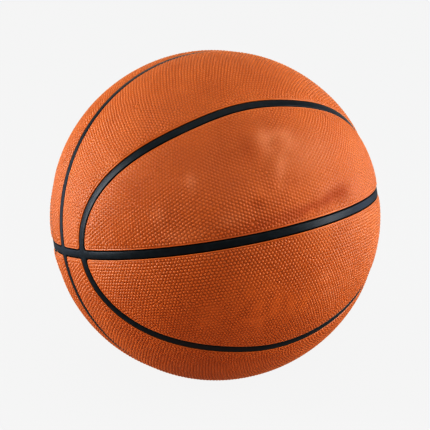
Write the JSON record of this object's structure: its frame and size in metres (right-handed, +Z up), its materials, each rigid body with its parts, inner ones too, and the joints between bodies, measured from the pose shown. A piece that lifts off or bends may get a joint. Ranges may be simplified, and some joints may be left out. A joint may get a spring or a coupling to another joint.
{
  "type": "deflated basketball",
  "caption": "Slack orange basketball with black seams, a pebbled cover, shallow dents in one panel and a small flat spot that it rests on.",
  "frame": {"origin": "middle of the flat spot that the ball rests on", "axes": "+Z up, dented front towards -Y, +X to the right seen from the front"},
  "size_m": [0.24, 0.24, 0.2385],
  "materials": {
    "cover": "pebbled, satin",
    "strip": "smooth, satin",
    "thread": "wound nylon thread",
    "bladder": "smooth, dull",
    "valve": "smooth, dull"
  },
  "bodies": {
    "root": {"panel_front_inner_upper": "cover", "panel_front_inner_lower": "cover", "panel_front_outer_upper": "cover", "panel_front_outer_lower": "cover", "panel_back_inner_upper": "cover", "panel_back_inner_lower": "cover", "panel_back_outer_upper": "cover", "panel_back_outer_lower": "cover", "carcass": "strip", "winding": "thread", "bladder": "bladder", "valve": "valve"}
  },
  "joints": []
}
